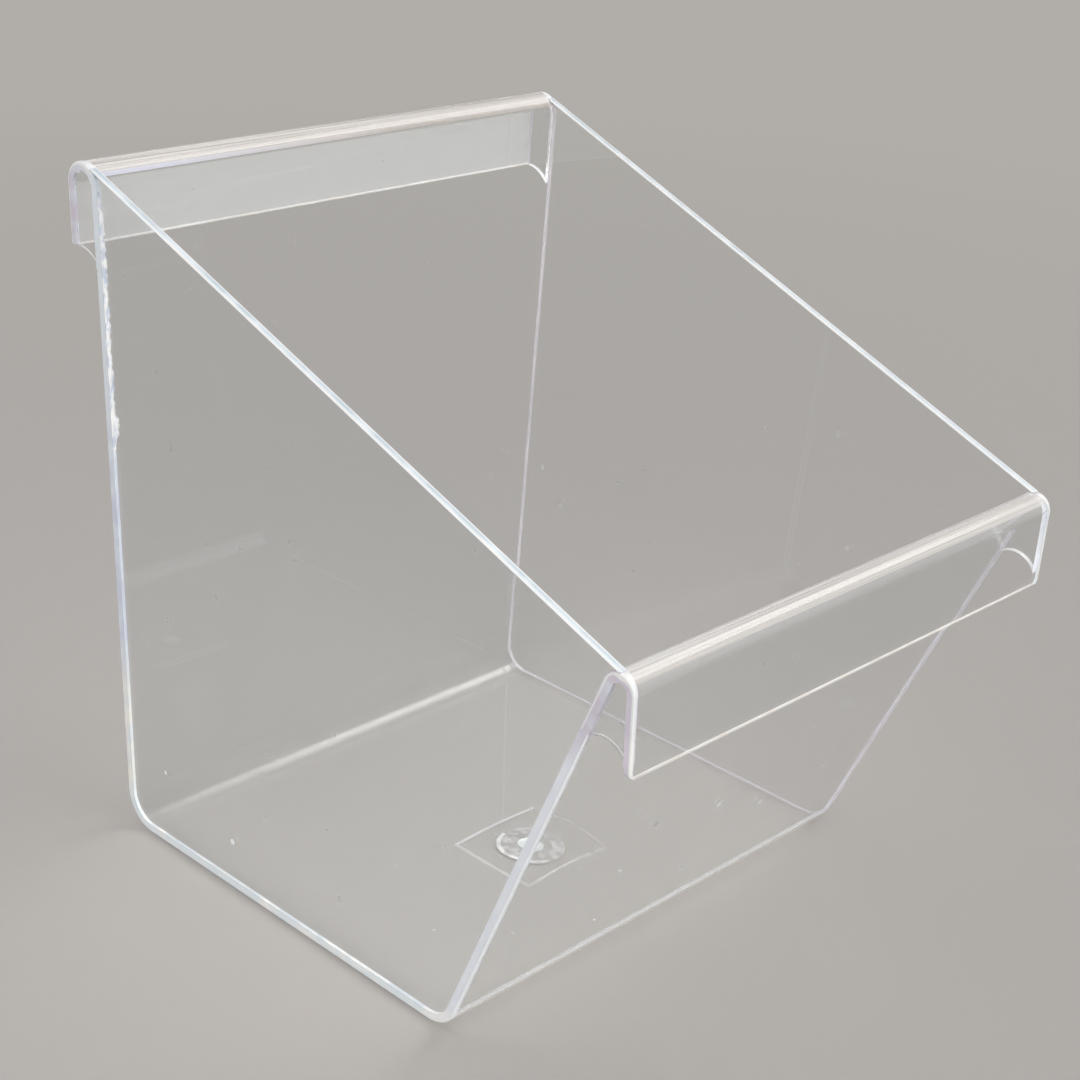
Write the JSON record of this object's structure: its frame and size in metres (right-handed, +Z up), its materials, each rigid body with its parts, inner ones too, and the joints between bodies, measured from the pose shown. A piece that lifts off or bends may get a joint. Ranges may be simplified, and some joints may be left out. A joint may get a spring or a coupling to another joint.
{
  "type": "slatwall display bucket",
  "caption": "Clear acrylic display bucket with a sloped open top, a leaning front wall, a folded front lip and a rear hook whose channel is closed at its ends by webs.",
  "frame": {"origin": "underside of the floor, centred on the overall width and the overall depth", "axes": "+Z up, +Y to the rear hook, -Y to the front lip, +X to the right as seen from the front"},
  "size_m": [0.1304, 0.1554, 0.1497],
  "materials": {
    "clear_acrylic": "clear, polished faces, white frosted cut edges",
    "bond": "milky set solvent cement"
  },
  "bodies": {
    "root": {"wrap_sheet": "clear_acrylic", "left_side_panel": "clear_acrylic", "right_side_panel": "clear_acrylic", "rear_left_web": "clear_acrylic", "rear_right_web": "clear_acrylic", "front_left_web": "clear_acrylic", "front_right_web": "clear_acrylic", "left_seam": "bond", "right_seam": "bond"}
  },
  "joints": []
}
